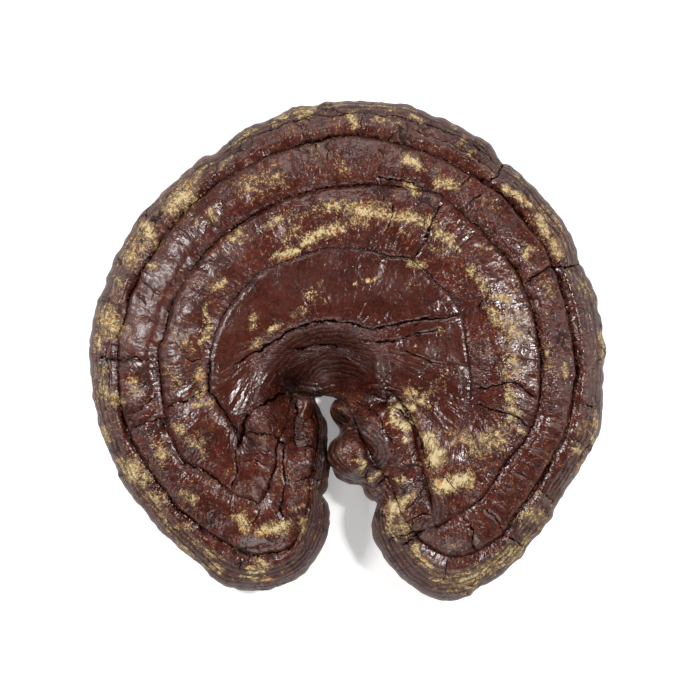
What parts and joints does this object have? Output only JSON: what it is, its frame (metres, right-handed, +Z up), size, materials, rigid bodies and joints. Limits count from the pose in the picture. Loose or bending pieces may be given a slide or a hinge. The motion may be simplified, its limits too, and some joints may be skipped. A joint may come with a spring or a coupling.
{
  "type": "reishi mushroom",
  "caption": "Dried lacquered bracket mushroom: a thick kidney-shaped woody cap with growth rings, a hollow and knobs at its notch, cut flat where the stem grew",
  "frame": {"origin": "under the middle of the cap's outline, on the surface the mushroom rests on", "axes": "+Z up through the crust, +X across both lobes, -Y towards the notch between the lobes"},
  "size_m": [0.2051, 0.198, 0.0328],
  "materials": {
    "lacquered_crust": "semi-gloss"
  },
  "bodies": {
    "root": {"cap": "lacquered_crust"}
  },
  "joints": []
}
